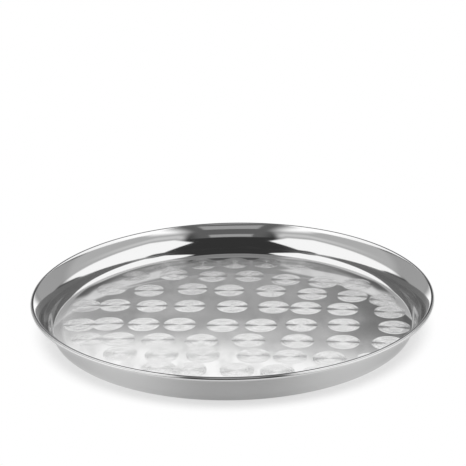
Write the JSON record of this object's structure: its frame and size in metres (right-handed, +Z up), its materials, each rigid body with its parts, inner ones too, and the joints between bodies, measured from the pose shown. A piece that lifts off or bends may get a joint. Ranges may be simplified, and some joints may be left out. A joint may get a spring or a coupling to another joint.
{
  "type": "round serving tray",
  "caption": "Round shallow serving tray pressed from stainless sheet, with a steep wall, a flared lip and a rim rolled around a wire.",
  "frame": {"origin": "middle of the underside, on the table", "axes": "+Z up, along the tray's axis of symmetry; +X and +Y across the floor"},
  "size_m": [0.4, 0.4, 0.0317],
  "materials": {
    "polished_sheet": "mirror polished wall, lip and rim; floor polished in overlapping round spots",
    "drawn_wire": "plain drawn wire"
  },
  "bodies": {
    "root": {"tray_pan": "polished_sheet", "rim_wire": "drawn_wire"}
  },
  "joints": []
}
